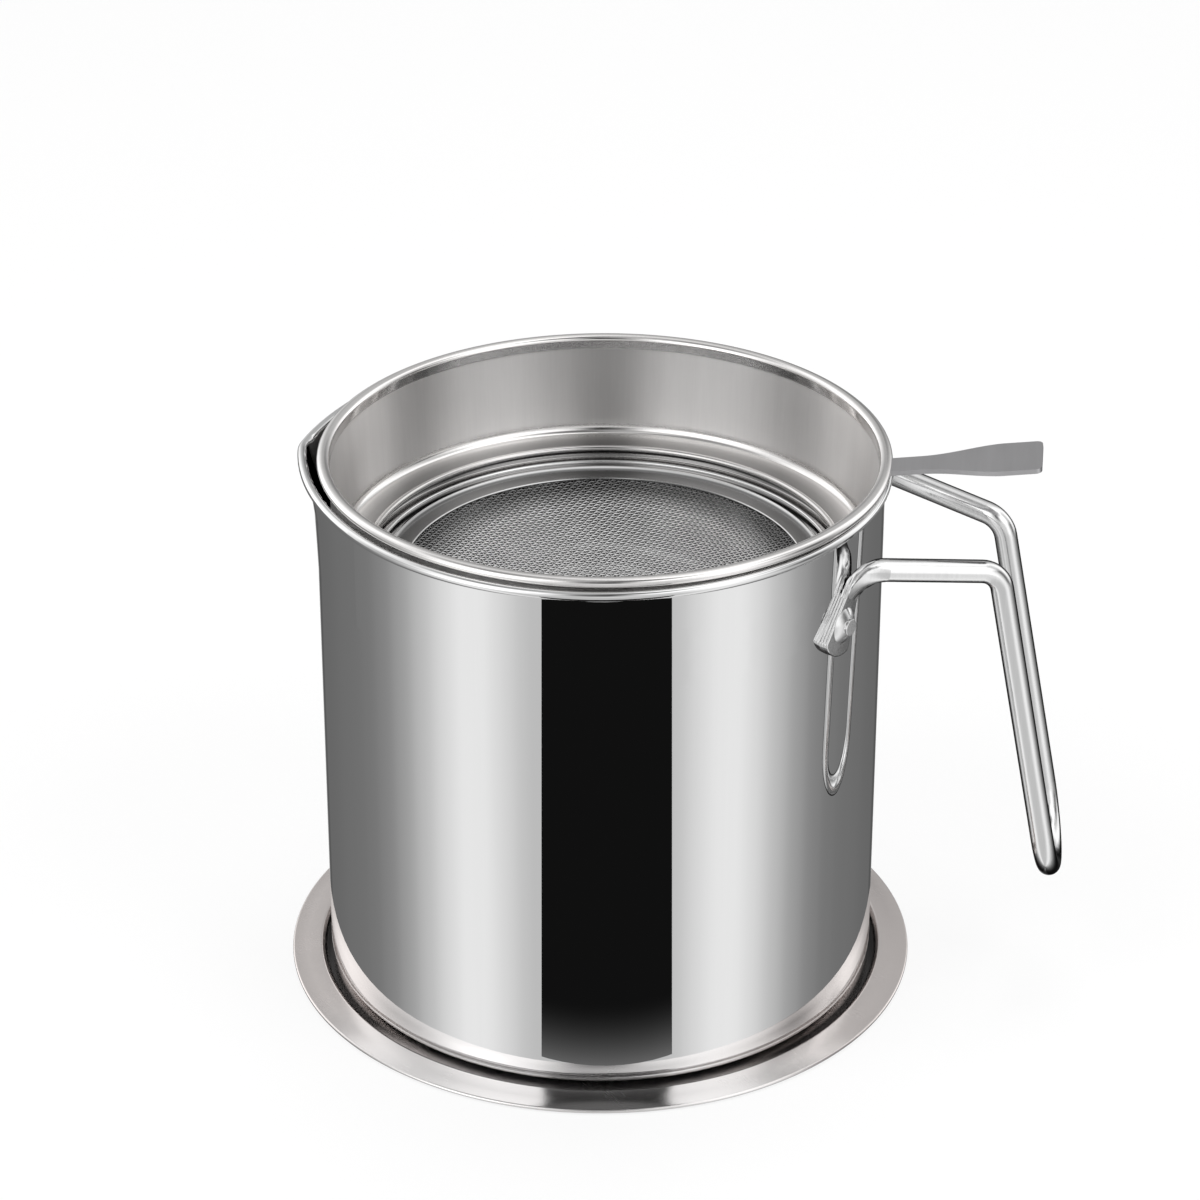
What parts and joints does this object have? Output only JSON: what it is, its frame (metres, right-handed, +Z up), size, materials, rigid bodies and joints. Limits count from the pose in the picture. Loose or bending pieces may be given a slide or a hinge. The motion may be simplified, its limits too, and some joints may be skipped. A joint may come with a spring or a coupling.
{
  "type": "bacon grease container",
  "caption": "Stainless grease keeper: a spouted pot with a riveted wire handle, a hanging mesh strainer with its own blade handle, and a drip tray it stands in.",
  "frame": {"origin": "centre of the drip tray's underside, on the pot's axis", "axes": "+Z up, +X towards both handles, -X towards the pouring spout"},
  "size_m": [0.1973, 0.1594, 0.1455],
  "materials": {
    "tray_satin": "satin stainless sheet",
    "pot_mirror": "mirror-polished stainless sheet",
    "wire_polish": "polished stainless rod",
    "rivet_polish": "polished stainless",
    "cup_satin": "satin stainless sheet with a polished rim",
    "frame_satin": "satin stainless sheet",
    "mesh_wire": null,
    "blade_matt": "matt stainless sheet"
  },
  "bodies": {
    "tray": {"drip_tray": "tray_satin"},
    "pot": {"pot_shell": "pot_mirror", "handle_wire": "wire_polish", "rivet_front": "rivet_polish", "rivet_rear": "rivet_polish"},
    "strainer": {"strainer_cup": "cup_satin", "mesh_frame": "frame_satin", "strainer_mesh": "mesh_wire", "mesh_clamp_ring": "frame_satin", "strainer_blade": "blade_matt"}
  },
  "joints": [
    {"name": "pot_lift", "type": "slide", "parent": "tray", "child": "pot", "axis": [0, 0, 1], "range_m": [0, 0.04]},
    {"name": "strainer_lift", "type": "slide", "parent": "pot", "child": "strainer", "axis": [0, 0, 1], "range_m": [0, 0.06]}
  ]
}
